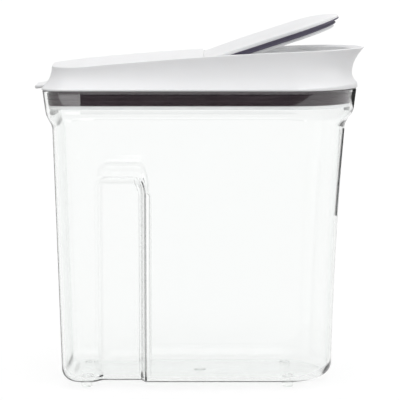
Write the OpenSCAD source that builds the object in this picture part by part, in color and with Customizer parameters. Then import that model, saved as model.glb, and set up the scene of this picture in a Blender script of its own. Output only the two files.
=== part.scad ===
// Cereal container: clear tapered bin, lift-off white lid with a ribbed seal,
// and a flip cover that closes the pouring spout. The spout points along +X.
// Millimetres, +Z up, the feet stand on z = 0, the middle of the bin is x = 0.

/* [Container] */
// Length of the bin outside, at its shoulder
body_l = 220.4; // [180:0.2:265]
// Width of the bin outside, at its shoulder
body_w = 100; // [80:0.5:120]
// Height of the shoulder above the underside of the bin
shoulder_h = 191.5; // [160:0.5:240]
// Wall of the bin
wall = 2.6; // [2:0.1:3.4]
// Floor of the bin
floor_t = 2.8; // [2:0.1:4]
// Slope of the rear wall, degrees
back_draft = 1.7; // [0.5:0.1:2.5]
// Slope of the front wall, degrees
front_draft = 2.7; // [0.5:0.1:3.5]
// How far the front wall curves in between the shoulder and the base
front_bow = 1.4; // [0:0.1:2]
// Slope of the side walls, degrees
side_draft = 1.3; // [0.5:0.1:2]
// Radius of the rear upright corners
corner_r = 16; // [10:1:24]
// Depth of the rounded nose at the shoulder
nose_d = 45; // [30:1:60]
// How much the nose shortens for each millimetre down the wall
nose_taper = 0.045; // [0:0.005:0.06]
// How much the nose lengthens over the neck
nose_grow = 5; // [2:0.5:8]
// Radius between the walls and the underside
base_r = 9; // [5:0.5:12]
// Height of the curved neck above the shoulder
neck_h = 14; // [8:0.5:16]
// How far the neck steps out at the rear
neck_back = 4.9; // [3:0.1:6]
// How far the neck steps out at the front
neck_front = 6.8; // [3:0.1:7.4]
// How far the neck steps out at the sides
neck_side = 2.5; // [2:0.1:5]
// Height of the collar above the neck
collar_h = 16; // [14:0.5:22]
// How far the collar leans out over its height
collar_lean = 2; // [0.5:0.1:3]

/* [Grip] */
// Depth of the finger recess in each side
grip_depth = 8; // [4:0.5:10]
// Distance of the recess's rear end from the rear of the bin
grip_back = 28.4; // [27:0.2:34]
// Width of the soft rear slope
grip_soft = 10; // [6:0.2:12]
// Length of the recess along the bin
grip_l = 40.8; // [34:0.2:50]
// Width of the steep front slope
grip_steep = 4; // [3.6:0.2:7]
// Height of the top of the recess above the underside
grip_top = 159; // [130:0.2:175]
// Height of the sloped roof of the recess
grip_roof = 8.5; // [7:0.5:20]

/* [Feet] */
// Height of a moulded foot
foot_h = 4.6; // [2:0.2:6]
// Diameter of a moulded foot
foot_d = 8; // [6:0.2:10]
// Distance of the rear feet from the rear of the bin
foot_back = 18.6; // [18:0.2:30]
// Distance of the front feet from the front of the bin
foot_front = 34.5; // [33:0.5:48]
// Half of the spacing of the feet across the bin
foot_half = 31; // [26:0.5:32]
// Diameter of the round gate mark in the middle of the underside
gate_d = 9; // [6:0.5:14]
// Height of the gate mark
gate_h = 1; // [0.6:0.1:2]

/* [Lid] */
// How far the lid skirt stands out from the collar rim
skirt_proud = 0.6; // [0.2:0.1:1.5]
// How much taller the upright edge of the skirt is at the nose
nose_edge = 2.4; // [0:0.2:4]
// Height of the lid ridge above the collar rim at the rear
ridge_back_h = 14.3; // [11:0.1:20]
// Height of the lid ridge above the collar rim at the lip
ridge_front_h = 29.9; // [24:0.1:36]
// Height of the ridge's arc above its chord
ridge_sag = 2.5; // [1:0.1:4]
// Crown of the lid top above its ridge
deck_crown = 3.8; // [0.5:0.1:4]
// How far the ridge stands in from the skirt at the sides
cove_in = 8.4; // [6:0.2:9]
// How far the ridge stands in from the skirt at the rear
cove_rear = 6.7; // [5:0.1:9]
// How far the lip reaches out over the skirt
lip_out = 5.1; // [2:0.1:6]
// Wall of the lid
lid_wall = 2.2; // [1.8:0.1:2.6]
// Radius of the rear corners of the lid ridge
ridge_corner_r = 26; // [14:1:32]
// Radius of the rear corners of the lid skirt
skirt_corner_r = 17; // [14:1:22]
// Width of the rear lift tab
tab_w = 44; // [30:1:56]
// Thickness of the lift tab at its tip
tab_t = 2.6; // [1.4:0.1:3]
// How far the tip of the lift tab droops below the collar rim
tab_drop = 0.8; // [0:0.1:0.9]

/* [Spout] */
// Distance of the opening's rear edge behind the hinge axis
well_gap = 8.4; // [8.4:0.2:18]
// Length of the spout's thick side cheeks ahead of the hinge axis
cheek_l = 58; // [40:0.5:64]
// Thickness of a cheek
cheek_t = 2.3; // [2:0.1:2.6]
// Distance from the flip's tip to the lip's edge
lip_gap = 14.2; // [10:0.2:18]

/* [Flip] */
// Distance of the hinge axis behind the lip's edge
hinge_in = 113.7; // [108:0.1:116]
// Angle from closed to the pose in the photograph, degrees
open_angle = 15.3; // [0:0.1:60]
// Slope of the closed flip, degrees
closed_slope = 2.8; // [2:0.1:3.6]
// Crown of the flip cover
flip_crown = 4.6; // [2:0.1:5]
// Thickness of the flip cover at its edge
flip_edge = 2.7; // [2:0.1:3.4]
// Thickness of the flip cover at its tip
flip_tip_edge = 1.3; // [1:0.1:2]
// How far the seal and the plate stand back at the tip
tip_back = 3; // [1:0.2:4]
// Wall of the flip cover
flip_wall = 2; // [1.6:0.1:2.4]
// Running clearance between the flip and the cheeks
flip_gap = 0.5; // [0.3:0.1:1]
// Thickness of the flip seal
flip_seal_t = 3.7; // [3:0.1:4.5]
// Thickness of the flip plate
flip_plate_t = 2.3; // [1.8:0.1:3]
// Diameter of the hinge pins
pin_d = 3; // [2.4:0.1:3]
// Radial clearance of the pins in the cheeks
pin_clear = 0.05; // [0.02:0.01:0.1]

/* [Seal] */
// Height of the ribbed lid seal
seal_h = 11; // [9:0.5:13]
// Thickness of the seal behind its ribs
seal_t = 1.6; // [1.2:0.1:2]
// Number of seal ribs
seal_ribs = 4; // [3:1:5]
// Gap between the rib tips and the collar
seal_gap = 0.35; // [0.3:0.05:0.6]
// Height of the frame's lower lip under the seal
seal_lip_h = 2.6; // [2:0.1:3.5]
// Thickness of the frame's walls
frame_wall = 2; // [1.6:0.1:2.4]

/* [Hidden] */
$fn = 64;
// Gap between parts that are fitted together, gap under the closed flip seal,
// and how far joined walls run into each other
fit_gap = 0.2;
seat_gap = 0.3;
bite = 0.5;

// Heights
base_z = foot_h;
shoulder_z = base_z + shoulder_h;
neck_z = shoulder_z + neck_h;
rim_z = neck_z + collar_h;

// Reach of the bin from its middle, at its shoulder and at its rim
back0 = body_l / 2;
front0 = body_l / 2;
half0 = body_w / 2;
rim_back = back0 + neck_back + collar_lean;
rim_front = front0 + neck_front + collar_lean;
rim_half = half0 + neck_side + collar_lean;
rim_nose = nose_d + nose_grow;

// Counts of the outline and profile steps
corner_n = 6;
nose_n = 12;
nose_end = 88;
side_n = 10;
cove_n = 8;

function ramp(t) = min(1, max(0, t));
function smooth(t) = let (u = ramp(t)) u * u * (3 - 2 * u);
function mix(a, b, t) = a + (b - a) * t;
function bez(a, b, c, d, s) =
    a * pow(1 - s, 3) + 3 * b * s * pow(1 - s, 2) + 3 * c * s * s * (1 - s) + d * pow(s, 3);

// Half outline on the -Y side: rear corner arc, straight side, elliptic nose.
// back, front and half are its reach from the origin, xs the stations on its side.
function half_plan(back, front, half, corner, nose, xs) = concat(
    [for (i = [0 : corner_n]) let (a = 90 * i / corner_n)
        [corner - back - corner * cos(a), corner - half - corner * sin(a)]],
    [for (x = xs) [x, -half]],
    [for (i = [0 : nose_n]) let (a = nose_end * i / nose_n)
        [front - nose + nose * sin(a), -half * cos(a)]]);
function stations(back, front, corner, nose) =
    [for (i = [1 : side_n - 1]) mix(corner - back, front - nose, i / side_n)];
function half_even(back, front, half, corner, nose) =
    half_plan(back, front, half, corner, nose, stations(back, front, corner, nose));
// A half outline and its mirror image, as one closed loop
function whole(half) = concat(half,
    [for (i = [len(half) - 1 : -1 : 0]) [half[i][0], -half[i][1], half[i][2]]]);
// The same outline as a flat loop
function plan(back, front, half, corner, nose) =
    [for (p = whole(half_even(back, front, half, corner, nose))) [p[0], p[1]]];

// Closed solid through a stack of mirrored loops, from its underside up
module loft(rings) {
    n = len(rings[0]);
    m = len(rings);
    last = (m - 1) * n;
    split = [[0, 1, 2], [0, 2, 3]];
    walls = [for (j = [0 : m - 2]) for (i = [0 : n - 1]) let (k = (i + 1) % n)
        [j * n + i, (j + 1) * n + i, (j + 1) * n + k, j * n + k]];
    under = [for (i = [0 : n / 2 - 2]) [i, i + 1, n - 2 - i, n - 1 - i]];
    over = [for (q = under) [q[3] + last, q[2] + last, q[1] + last, q[0] + last]];
    polyhedron(points = [for (r = rings) for (p = r) p],
        faces = [for (q = concat(walls, under, over)) for (t = split) [q[t[0]], q[t[1]], q[t[2]]]]);
}

// Ring between two flat loops, from z0 up to z1
module band(outer, inner, z0, z1) {
    translate([0, 0, z0]) linear_extrude(z1 - z0) difference() {
        polygon(outer);
        polygon(inner);
    }
}

// ---- container ----

// Ends of the finger recess along the bin
grip_x0 = grip_back - back0;
grip_x1 = grip_x0 + grip_l;
// Depth of the finger recess at a point of the side wall. It climbs over the rear slope, the
// steep front slope and the roof, which meet in rounded corners, the front one wide. Inside
// the bin the steep slope stands ahead by grow, so that the wall keeps its thickness there.
grip_grow = wall / 2;
grip_round = 2;
function grip(x, z, grow) = let (
        rear = ramp((x - grip_x0) / grip_soft),
        steep = (grip_x1 + grow - x) / grip_steep,
        roof = (base_z + grip_top - z) / grip_roof,
        corner = grip_round - norm([max(0, grip_round - steep), max(0, grip_round - roof)]))
    grip_depth * smooth(min(corner, 1 - norm([1 - rear, 1 - ramp(roof)])));

grip_steps = [0.25, 0.5, 0.75];
bin_xs = concat(
    [grip_x0], [for (s = grip_steps) grip_x0 + s * grip_soft], [grip_x0 + grip_soft],
    [(grip_x0 + grip_x1) / 2],
    [for (s = [1, 0.75, 0.5, 0.25, 0]) grip_x1 - grip_steep * (1 + s * (grip_round - 1))],
    [for (s = grip_steps) grip_x1 - grip_steep + s * grip_steep], [grip_x1],
    [for (i = [0 : 4]) mix(grip_x1 + grip_grow, front0 - nose_d, i / 5)]);

// Loop of the bin wall at height z, stood in by inset
function bin_ring(z, inset, grow) = let (
        drop = max(0, shoulder_z - z),
        step = smooth((z - shoulder_z) / neck_h),
        lean = collar_lean * max(0, z - neck_z) / collar_h - inset,
        back = back0 - drop * tan(back_draft) + step * neck_back + lean,
        bow = 4 * front_bow * drop / shoulder_h * (1 - drop / shoulder_h),
        front = front0 - drop * tan(front_draft) - bow + step * neck_front + lean,
        half = half0 - drop * tan(side_draft) + step * neck_side + lean,
        nose = nose_d - drop * nose_taper + step * nose_grow - inset)
    whole([for (p = half_plan(back, front, half, max(3, corner_r - inset), nose, bin_xs))
        [p[0], p[1] + grip(p[0], z, grow), z]]);

fillet_n = 5;
bin_zs = concat(
    [for (s = [0.12, 0.4, 0.7]) base_z + s * (grip_top - grip_roof)],
    [for (s = [1, 0.7, 0.4, 0.2]) base_z + grip_top - grip_roof * (1 + s * (grip_round - 1))],
    [for (s = [0 : 5]) base_z + grip_top - grip_roof * (1 - s / 5)],
    [for (s = [0 : 5]) shoulder_z + neck_h * s / 5], [rim_z]);

// Loops of the rounding between underside and wall
function fillet_rings(z0, r, inset, grow) = [for (i = [0 : fillet_n]) let (a = 90 * i / fillet_n)
    bin_ring(z0 + r * (1 - cos(a)), inset + r * (1 - sin(a)), grow)];

module container() {
    outside = concat(fillet_rings(base_z, base_r, 0, 0), [for (z = bin_zs) bin_ring(z, 0, 0)]);
    inside = concat(fillet_rings(base_z + floor_t, base_r - wall / 2, wall, grip_grow),
        [for (z = bin_zs) bin_ring(z, wall, grip_grow)]);
    color([0.93, 0.96, 0.95, 0.4]) {
        loft(concat(outside, [for (i = [len(inside) - 1 : -1 : 0]) inside[i]]));
        feet();
    }
}

module feet() {
    under_back = back0 - shoulder_h * tan(back_draft);
    under_front = front0 - shoulder_h * tan(front_draft);
    for (x = [foot_back - under_back, under_front - foot_front], y = [-foot_half, foot_half])
        translate([x, y, 0]) cylinder(d = foot_d, h = foot_h + floor_t / 2);
    translate([0, 0, base_z - gate_h]) cylinder(d = gate_d, h = gate_h + floor_t / 2);
}

// ---- lid shell ----

skirt_back = rim_back + skirt_proud;
skirt_front = rim_front + skirt_proud;
skirt_half = rim_half + skirt_proud;
lip_x = skirt_front + lip_out;
ridge_half = skirt_half - cove_in;
skirt_edge = 1.2;
skirt_z = rim_z + skirt_edge;
// Shape of the cove: its side curve's power and its front curve's handles
cove_power = 2.3;
waist_low = -7.5;
waist_high = -4;
rise_low = 0.17;
rise_high = 0.62;

// Height of the ridge line along the lid
function ridge(x) = let (u = (x + skirt_back) / (lip_x + skirt_back))
    rim_z + mix(ridge_back_h, ridge_front_h, u) + 4 * ridge_sag * u * (1 - u);
// Height of the crowned top, which sinks to the ridge at the sides and the nose and is
// flatter at the rear
deck_fade = 30;
rear_flat = 0.3;
function deck(x, y) = let (
        nose = max(0, (x - lip_x + rim_nose) / rim_nose),
        rear = ramp(1 - (x + skirt_back - cove_rear) / deck_fade))
    ridge(x) + deck_crown * (1 - rear_flat * rear * rear)
        * max(0, 1 - pow(y / ridge_half, 2) - nose * nose);

// Height of the skirt's upright edge, which climbs around the nose
function edge_z(x) = skirt_z + nose_edge * smooth((x - skirt_front + rim_nose) / rim_nose);

// Half loop of the cove at step s from skirt (0) to ridge (1), stood in by inset.
// nose_stop holds back the nose of the hollow, so that the spout's ramp stays solid.
function cove_half(s, inset, nose_stop) = let (
        t = bez(0, rise_low, rise_high, 1, s),
        reach = 1 - pow(1 - t, cove_power),
        side = cove_in * reach + inset,
        front = min(nose_stop, skirt_front + bez(0, waist_low, waist_high, lip_out, s) - inset))
    [for (p = half_even(skirt_back - cove_rear * reach - inset, front, skirt_half - side,
            mix(skirt_corner_r, ridge_corner_r, t) - inset, rim_nose - inset / 2))
        [p[0], p[1], mix(edge_z(p[0]), deck(p[0], p[1]), t)]];

// Half loop drawn in across the bin by s, and a little along it about the place mid
crown_steps = [0.85, 0.65, 0.45, 0.25, 0.1];
pinch = 0.03;
function drawn_in(half, s, mid) = [for (p = half) [mix(mid, p[0], 1 - pinch * (1 - s)), p[1] * s]];
// Loops of a crowned top over a half loop, drop below the deck
function deck_rings(half, drop) = [for (s = crown_steps)
    whole([for (p = drawn_in(half, s, 0)) [p[0], p[1], deck(p[0], p[1]) - drop]])];

module lid_outside() {
    loft(concat(
        [whole([for (p = cove_half(0, 0, lip_x)) [p[0], p[1], rim_z]])],
        [for (i = [0 : cove_n]) whole(cove_half(i / cove_n, 0, lip_x))],
        deck_rings(cove_half(1, 0, lip_x), 0)));
}

module lid_hollow() {
    top = [for (p = cove_half(1, lid_wall, throat_x - lid_wall)) [p[0], p[1], p[2] - lid_wall]];
    stop_step = 0.6;
    loft(concat(
        [whole([for (p = cove_half(0, lid_wall, lip_x)) [p[0], p[1], rim_z - 1]])],
        [for (i = [0 : cove_n - 1]) let (s = i / cove_n)
            whole(cove_half(s, lid_wall, s < stop_step ? lip_x : throat_x - lid_wall))],
        [whole(top)],
        deck_rings(top, lid_wall)));
}

// Places along the lid: hinge axis, rear edge of the opening, front end of the cheeks
hinge_x = lip_x - hinge_in;
well_x = hinge_x - well_gap;
cheek_x = hinge_x + cheek_l;

// Void of the spout: upright walls, then the ramp out to the lip
throat_x = lip_x - lip_gap + flip_gap;
throat_half = ridge_half - lid_wall - seat_gap;
throat_cut = 10;
throat_nose = rim_nose - throat_cut;
ramp_x = lip_x - lid_wall;
void_corner = 2;
module spout_void() {
    low = ledge_z(throat_x) + seat_gap;
    high = ridge(ramp_x);
    under = 2;
    over = 8;
    function at(back, front, nose, z) =
        whole([for (p = half_even(back, front, throat_half, void_corner, nose)) [p[0], p[1], z]]);
    loft([
        at(-well_x, throat_x, throat_nose, rim_z - under),
        at(-well_x, throat_x, throat_nose, low),
        at(-well_x, ramp_x, rim_nose, high),
        at(-well_x, ramp_x, rim_nose, high + over)]);
}

// Rear lift tab, drooping from the foot of the cove
module lift_tab() {
    tip = -lip_x;
    root = cove_rear - skirt_back;
    intersection() {
        translate([0, tab_w / 2, rim_z]) rotate([90, 0, 0]) linear_extrude(tab_w)
            polygon([[root, 1.5], [root, 6.5], [root - 2.5, 4.2], [root - 5, 3], [root - 9, 2.1],
                [tip + 0.8, tab_t - tab_drop], [tip, tab_t - tab_drop - 0.7], [tip, 0.6 - tab_drop],
                [tip + 0.8, -tab_drop],
                [-skirt_back + 1, 0.6]]);
        translate([0, 0, rim_z - 1]) linear_extrude(10)
            polygon(plan(-tip, root + 20, tab_w / 2, 9, 1));
    }
}

module lid_shell() {
    color([0.95, 0.95, 0.96]) {
        difference() {
            union() {
                lid_outside();
                lift_tab();
            }
            lid_hollow();
            spout_void();
        }
    }
}

// ---- hinge frame of reference ----

// Height of the seal plane above the hinge axis
seal_rise = 2.45;
flush_drop = 0.1;
hinge_z = ridge(hinge_x) - flush_drop - flip_edge - seal_rise;
flip_half = throat_half - fit_gap - cheek_t - flip_gap;
flip_back = 6.5;
flip_tip = (lip_x - lip_gap - hinge_x) / cos(closed_slope);
nose_ease = 2;
flip_nose = throat_nose - nose_ease;
flip_corner = 3;
d_back = 7.8;
d_corner = 6;
ledge_rise = seal_rise - flip_seal_t - seat_gap;
ledge_t = 2;
function ledge_z(x) = hinge_z + (x - hinge_x) * tan(closed_slope) + ledge_rise / cos(closed_slope);

// Outline of the sealed mouth, stood in by inset and by tip at its tip, measured from the hinge axis
function mouth(inset, tip = 0) = plan(-d_back - inset, flip_tip - inset - tip, flip_half - inset,
    d_corner - inset / 2, flip_nose - inset - tip);
seal_fin_in = 0.2;
low_fin_in = 0.5;
seal_in = 1.2;
mouth_in = 1.9;
plate_in = 2.6;
seal_bore_in = 4;

module closed_frame() {
    translate([hinge_x, 0, hinge_z]) rotate([0, -closed_slope, 0]) children();
}
module photo_frame() {
    translate([hinge_x, 0, hinge_z]) rotate([0, -closed_slope - open_angle, 0]) children();
}

// ---- lid frame ----

plug_out = 4.3;
seal_z0 = rim_z - seal_h - fit_gap;
plug_z0 = seal_z0 - seal_lip_h;
flange_t = 2;
web_z = rim_z - fit_gap + flange_t;
well_d = 13;
well_z = hinge_z - well_d;
well_back = 14;
well_front = 5.6;
frame_half = throat_half - fit_gap;
flange_in = 0.7;
cheek_drop = 0.4;

// Outline inside the rim, stood in by inset from the collar's inner face. Its corners keep
// the collar's own radius down to the plug's outer wall, since the collar leans in.
function plug(inset) = let (i = wall + inset, round = wall + max(0, inset - plug_out))
    plan(rim_back - i, rim_front - i, rim_half - i, corner_r - round, rim_nose - round);
// Outline of the spout walls, stood in by inset
function spout(inset) = plan(well_back - hinge_x - inset, throat_x - fit_gap - inset, frame_half - inset,
    3, throat_nose - fit_gap - inset);

module frame_cheek() {
    back = well_x + void_corner + fit_gap;
    xs = [for (i = [0 : 8]) mix(back, cheek_x, i / 8)];
    for (side = [0, 1]) mirror([0, side, 0])
        translate([0, frame_half, 0]) rotate([90, 0, 0]) linear_extrude(cheek_t)
            polygon(concat([for (x = xs) [x, ridge(x) - cheek_drop]], [[cheek_x, web_z], [back, web_z]]));
}

module frame_well() {
    x0 = hinge_x - well_back;
    x1 = hinge_x + well_front;
    top0 = ridge(x0) - lid_wall - 1;
    top1 = ledge_z(x1) - bite;
    translate([0, frame_half, 0]) rotate([90, 0, 0]) linear_extrude(2 * frame_half)
        polygon([[x0, top0], [x0, well_z - frame_wall], [x1 + frame_wall, well_z - frame_wall],
            [x1 + frame_wall, top1], [x1, top1], [x1, well_z], [x0 + frame_wall, well_z],
            [x0 + frame_wall, top0]]);
}

module lid_frame() {
    collar_in = collar_lean * (rim_z - plug_z0) / collar_h;
    color([0.94, 0.94, 0.95]) difference() {
        union() {
            band(plug(plug_out), plug(plug_out + frame_wall), plug_z0, web_z);
            band(plug(collar_in + seal_gap), plug(plug_out + bite), plug_z0, seal_z0);
            band(plug(flange_in), plug(plug_out + bite), rim_z - fit_gap, web_z);
            band(plug(plug_out + bite), spout(frame_wall), web_z - flange_t, web_z);
            difference() {
                band(spout(0), spout(frame_wall), web_z - 1, rim_z + ridge_front_h);
                closed_frame() translate([-body_l, -body_w, ledge_rise])
                    cube(2 * [body_l, body_w, ridge_front_h]);
            }
            closed_frame() translate([0, 0, ledge_rise - ledge_t]) linear_extrude(ledge_t) difference() {
                polygon(plan(-well_front, (throat_x - fit_gap - hinge_x) / cos(closed_slope),
                    frame_half, 3, throat_nose - fit_gap));
                polygon(mouth(mouth_in, tip_back));
            }
            frame_cheek();
            frame_well();
        }
        translate([hinge_x, 0, hinge_z]) rotate([90, 0, 0])
            cylinder(r = pin_d / 2 + pin_clear, h = 2 * frame_half + 2, center = true);
    }
}

// ---- lid seal ----

module lid_seal() {
    rib_t = seal_h / seal_ribs * 0.5;
    pitch = (seal_h - rib_t) / (seal_ribs - 1);
    color([0.22, 0.18, 0.22]) {
        band(plug(plug_out - seal_t), plug(plug_out), seal_z0, seal_z0 + seal_h);
        for (i = [0 : seal_ribs - 1]) let (z = seal_z0 + i * pitch)
            band(plug(collar_lean * (rim_z - z) / collar_h + seal_gap), plug(plug_out - seal_t + 0.2),
                z, z + rib_t);
    }
}

// ---- flip cover ----

ear_t = 5;
ear_r = 2.5;
rim_w = 3.2;
function flip_top(u, y) = let (
        r = u > flip_tip - flip_nose ? (u - flip_tip + flip_nose) / flip_nose : 0,
        crown = mix(deck_crown, flip_crown, smooth((u + flip_back) / 30)))
    seal_rise + mix(flip_edge, flip_tip_edge, smooth(r))
        + crown * max(0, 1 - pow(y / flip_half, 2) - pow(r, 4));
function flip_loop(inset) = half_even(flip_back - inset, flip_tip - inset, flip_half - inset,
    flip_corner, flip_nose - inset);

module flip_cover() {
    outer = flip_loop(0);
    inner = flip_loop(rim_w);
    mid = flip_tip / 2;
    steps = concat([1], crown_steps);
    color([0.95, 0.95, 0.96]) photo_frame() difference() {
        union() {
            loft(concat(
                [for (i = [len(steps) - 1 : -1 : 0]) whole([for (p = drawn_in(inner, steps[i], mid))
                    [p[0], p[1], flip_top(p[0], p[1]) - flip_wall]])],
                [whole([for (p = inner) [p[0], p[1], seal_rise]])],
                [whole([for (p = outer) [p[0], p[1], seal_rise]])],
                [for (s = steps) whole([for (p = drawn_in(outer, s, mid))
                    [p[0], p[1], flip_top(p[0], p[1])]])]));
            for (side = [-1, 1]) translate([0, side * (flip_half - ear_t / 2 - fit_gap), 0]) {
                rotate([90, 0, 0]) cylinder(r = ear_r, h = ear_t, center = true);
                translate([-ear_r, -ear_t / 2, 0]) cube([2 * ear_r, ear_t, seal_rise + 1]);
            }
        }
        for (side = [-1, 1]) translate([0, side * (flip_half - ear_t / 2), 0]) rotate([90, 0, 0])
            cylinder(d = pin_d, h = ear_t + 2, center = true);
    }
}

module flip_seal() {
    fin_t = 1.1;
    color([0.3, 0.27, 0.33]) photo_frame() {
        top = seal_rise;
        low = seal_rise - flip_seal_t;
        band(mouth(seal_in, tip_back), mouth(seal_bore_in, tip_back), low, top);
        band(mouth(seal_fin_in), mouth(seal_in + bite, tip_back), top - fin_t, top);
        band(mouth(low_fin_in, tip_back), mouth(seal_in + bite, tip_back), low, low + fin_t);
    }
}

module flip_plate() {
    top = seal_rise - flip_seal_t;
    post_d = 5;
    color([0.94, 0.94, 0.95]) photo_frame() {
        translate([0, 0, top - flip_plate_t]) linear_extrude(flip_plate_t)
            polygon(mouth(plate_in, tip_back));
        for (u = [0.28, 0.52, 0.76], y = [-0.45, 0.45])
            let (x = u * flip_tip, w = y * flip_half)
                translate([x, w, top - bite]) cylinder(d = post_d,
                    h = flip_top(x, abs(w) + post_d / 2) - flip_wall - top + bite - fit_gap);
    }
}

module hinge_pin(side) {
    out = frame_half - 0.1;
    len = cheek_t + flip_gap + ear_t;
    color([0.8, 0.8, 0.82]) translate([hinge_x, side * (out - len / 2), hinge_z])
        rotate([90, 0, 0]) cylinder(d = pin_d, h = len, center = true);
}
module hinge_pin_near() { hinge_pin(-1); }
module hinge_pin_far() { hinge_pin(1); }

container();
lid_shell();
lid_frame();
lid_seal();
flip_cover();
flip_seal();
flip_plate();
hinge_pin_near();
hinge_pin_far();
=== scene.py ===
import bpy
import math
import bmesh
import mathutils
import numpy as np
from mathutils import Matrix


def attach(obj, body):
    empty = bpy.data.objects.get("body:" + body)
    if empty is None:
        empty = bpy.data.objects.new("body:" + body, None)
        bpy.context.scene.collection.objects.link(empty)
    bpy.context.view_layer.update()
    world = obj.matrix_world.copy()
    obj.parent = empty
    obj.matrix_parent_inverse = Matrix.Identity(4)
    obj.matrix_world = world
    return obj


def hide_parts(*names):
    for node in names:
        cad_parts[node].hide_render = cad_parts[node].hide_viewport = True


# Clear cereal container with a white lift-off lid and a flip cover over its spout.
# The sizes in the dictionaries are millimetres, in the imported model's own frame.

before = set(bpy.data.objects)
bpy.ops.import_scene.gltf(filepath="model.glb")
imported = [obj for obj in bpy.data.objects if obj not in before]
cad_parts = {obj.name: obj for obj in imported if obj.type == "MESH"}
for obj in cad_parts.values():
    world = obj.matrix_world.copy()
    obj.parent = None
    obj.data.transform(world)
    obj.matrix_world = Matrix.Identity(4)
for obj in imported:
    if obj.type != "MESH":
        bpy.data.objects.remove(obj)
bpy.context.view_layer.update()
print("frame loaded")

# points along each stretch of a half outline
outline = {"rear": 7, "corner": 14, "side": 56, "nose": 40}
millimetre = 0.001


def smooth(t):
    # 3t^2 - 2t^3 with t held between 0 and 1
    t = np.clip(t, 0, 1)
    return t * t * (3 - 2 * t)


def mix(a, b, t):
    # a plus the part t of the way to b
    return a + (b - a) * t


def bezier(a, b, c, d, s):
    # cubic Bezier value: a(1-s)^3 + 3b s(1-s)^2 + 3c s^2(1-s) + d s^3
    return a * (1 - s) ** 3 + 3 * b * s * (1 - s) ** 2 + 3 * c * s * s * (1 - s) + d * s ** 3


def halfOutline(back, front, half, corner, nose, stations=None):
    # From the middle of the rear edge round to the nose tip, on the -Y side: a straight rear
    # edge, a quarter circle, a straight side, and a quarter ellipse
    # (front - nose + nose sin a, -half cos a).
    y = -np.linspace(0, 1, outline["rear"])[:-1] * (half - corner)
    rear = np.stack([np.full_like(y, -back), y], 1)
    a = np.linspace(0, math.pi / 2, outline["corner"])
    arc = np.stack([corner - back - corner * np.cos(a), corner - half - corner * np.sin(a)], 1)
    if stations is None:
        stations = mix(corner - back, front - nose, np.linspace(0, 1, outline["side"])[1:-1])
    side = np.stack([stations, np.full_like(stations, -half)], 1)
    b = np.linspace(0, math.pi / 2, outline["nose"])
    tip = np.stack([front - nose + nose * np.sin(b), -half * np.cos(b)], 1)
    return np.concatenate([rear, arc, side, tip])


def wholeLoop(halfLoop):
    # the half outline, then its mirror image back to the start
    back = halfLoop[-2:0:-1].copy()
    back[:, 1] *= -1
    return np.concatenate([halfLoop, back])


def raised(flat, z):
    # a flat loop lifted to the height z, one number or one for each point
    return np.column_stack([flat, np.broadcast_to(z, len(flat))])


def roundCorners(rings, radii, steps=4):
    # Round a closed section of rings: each ring with a radius r becomes a quadratic Bezier
    # from r towards its last neighbour to r towards its next one, bent round the ring itself.
    out = []
    count = len(rings)
    for k, ring in enumerate(rings):
        r = radii[k]
        if not r:
            out.append(ring)
            continue
        before, after = rings[k - 1] - ring, rings[(k + 1) % count] - ring
        lengthBefore = np.linalg.norm(before, axis=1, keepdims=True) + 1e-9
        lengthAfter = np.linalg.norm(after, axis=1, keepdims=True) + 1e-9
        start = ring + before * np.minimum(r / lengthBefore, 0.45)
        end = ring + after * np.minimum(r / lengthAfter, 0.45)
        for t in np.linspace(0, 1, steps + 1):
            out.append(start * (1 - t) ** 2 + ring * 2 * t * (1 - t) + end * t * t)
    return out


def gridFaces(rows, cols, wrapRows, wrapCols):
    # the four corners of every cell of a grid of points, wrapped round where asked
    i = np.arange(rows if wrapRows else rows - 1)[:, None]
    j = np.arange(cols if wrapCols else cols - 1)[None, :]
    up, on = (i + 1) % rows, (j + 1) % cols
    return np.stack([i * cols + j, i * cols + on, up * cols + on, up * cols + j], -1).reshape(-1, 4)


def tube(rings):
    # a section of rings closed both ways
    return np.stack(rings), True, True


def sleeve(rings):
    # a stack of closed rings with open ends
    return np.stack(rings), False, True


def crownRings(loop, spine, height, steps):
    # Rings drawn from a loop in to a spine on y = 0: spine + s (loop - spine), s from 1 to 0,
    # where the spine point slides from spine[0] to spine[1] as x goes along the loop.
    low, high = loop[:, 0].min(), loop[:, 0].max()
    middle = np.zeros((len(loop), 2))
    middle[:, 0] = mix(spine[0], spine[1], (loop[:, 0] - low) / (high - low))
    out = []
    for s in steps:
        flat = middle + s * (loop[:, :2] - middle)
        out.append(np.column_stack([flat, height(flat[:, 0], flat[:, 1])]))
    return out


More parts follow.
